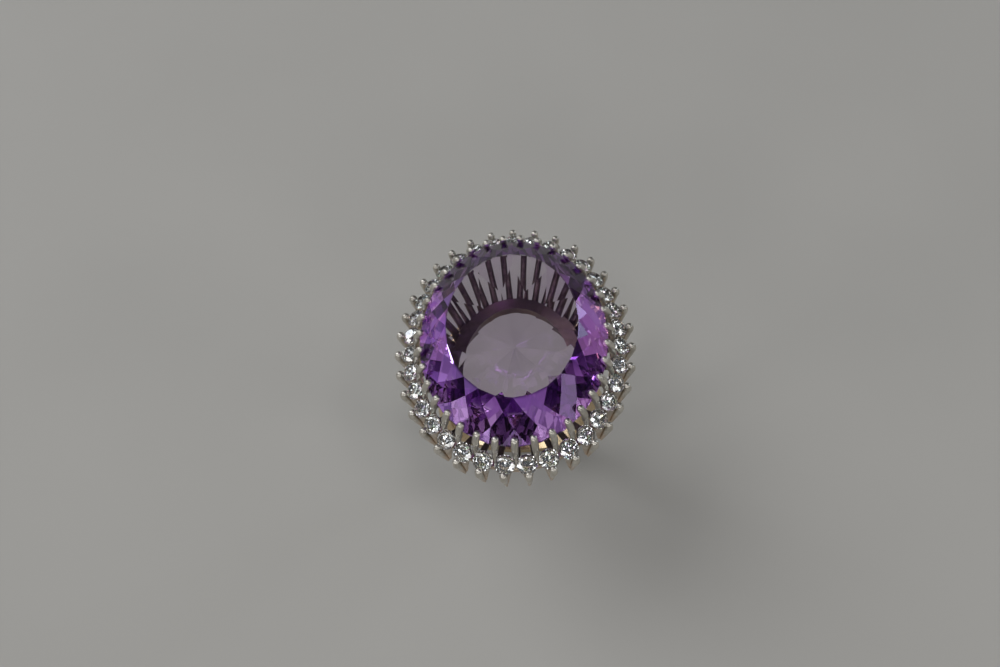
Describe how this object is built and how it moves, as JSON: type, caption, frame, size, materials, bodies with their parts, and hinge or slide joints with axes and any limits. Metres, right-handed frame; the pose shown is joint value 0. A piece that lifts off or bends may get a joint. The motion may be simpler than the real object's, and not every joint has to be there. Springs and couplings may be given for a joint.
{
  "type": "cocktail ring",
  "caption": "Large faceted oval stone held by claws in a wire basket, circled by round brilliants in pointed cups, on a crowned finger band.",
  "frame": {"origin": "centre of the finger hole", "axes": "+Y along the finger and along the stone's length, +Z from the finger up to the stone"},
  "size_m": [0.026, 0.0309, 0.0307],
  "materials": {
    "amethyst": "polished facets",
    "diamond": "polished facets",
    "white_gold": "polished, lightly worn",
    "yellow_gold": "polished, lightly worn"
  },
  "bodies": {
    "root": {"centre_stone": "amethyst", "stone_claws": "white_gold", "outer_claws": "white_gold", "diamond_cups": "yellow_gold", "claw_rail": "yellow_gold", "basket_wires": "yellow_gold", "base_collar": "yellow_gold", "shank": "yellow_gold", "fork_right_front": "yellow_gold", "fork_right_back": "yellow_gold", "fork_left_front": "yellow_gold", "fork_left_back": "yellow_gold", "diamond_01": "diamond", "diamond_02": "diamond", "diamond_03": "diamond", "diamond_04": "diamond", "diamond_05": "diamond", "diamond_06": "diamond", "diamond_07": "diamond", "diamond_08": "diamond", "diamond_09": "diamond", "diamond_10": "diamond", "diamond_11": "diamond", "diamond_12": "diamond", "diamond_13": "diamond", "diamond_14": "diamond", "diamond_15": "diamond", "diamond_16": "diamond", "diamond_17": "diamond", "diamond_18": "diamond", "diamond_19": "diamond", "diamond_20": "diamond", "diamond_21": "diamond", "diamond_22": "diamond", "diamond_23": "diamond", "diamond_24": "diamond", "diamond_25": "diamond", "diamond_26": "diamond", "diamond_27": "diamond", "diamond_28": "diamond", "diamond_29": "diamond", "diamond_30": "diamond", "diamond_31": "diamond", "diamond_32": "diamond", "diamond_33": "diamond", "diamond_34": "diamond", "diamond_35": "diamond"}
  },
  "joints": []
}
